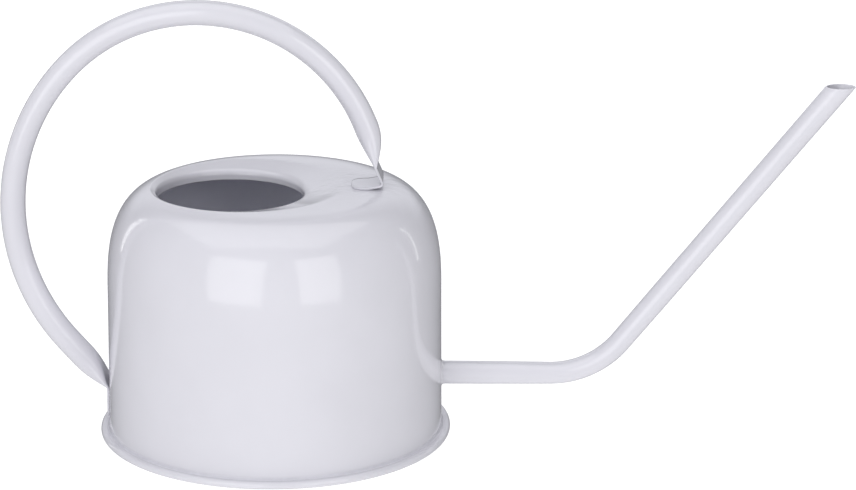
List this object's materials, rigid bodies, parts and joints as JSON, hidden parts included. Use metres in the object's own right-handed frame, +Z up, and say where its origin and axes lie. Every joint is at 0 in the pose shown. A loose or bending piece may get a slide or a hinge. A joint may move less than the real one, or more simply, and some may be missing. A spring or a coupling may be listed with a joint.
{
  "type": "watering can",
  "caption": "Small lacquered steel watering can with a domed drawn body, dished filler mouth, bent tube spout and hoop handle.",
  "frame": {"origin": "centre of the seam ring that the can stands on, on the ground plane", "axes": "+Z up, +X from the can's axis towards the spout; the spout, mouth and handle are centred on the plane y = 0"},
  "size_m": [0.3612, 0.151, 0.1889],
  "materials": {
    "lacquered_steel": "gloss",
    "lacquered_braze": "gloss",
    "sealing_compound": "matte",
    "weld_steel": "satin"
  },
  "bodies": {
    "root": {"body_shell": "lacquered_steel", "base_plate": "lacquered_steel", "seam_sealant": "sealing_compound", "spout_tube": "lacquered_steel", "spout_braze": "lacquered_braze", "handle_tube": "lacquered_steel", "top_strap_welds": "weld_steel", "side_strap_welds": "weld_steel"}
  },
  "joints": []
}
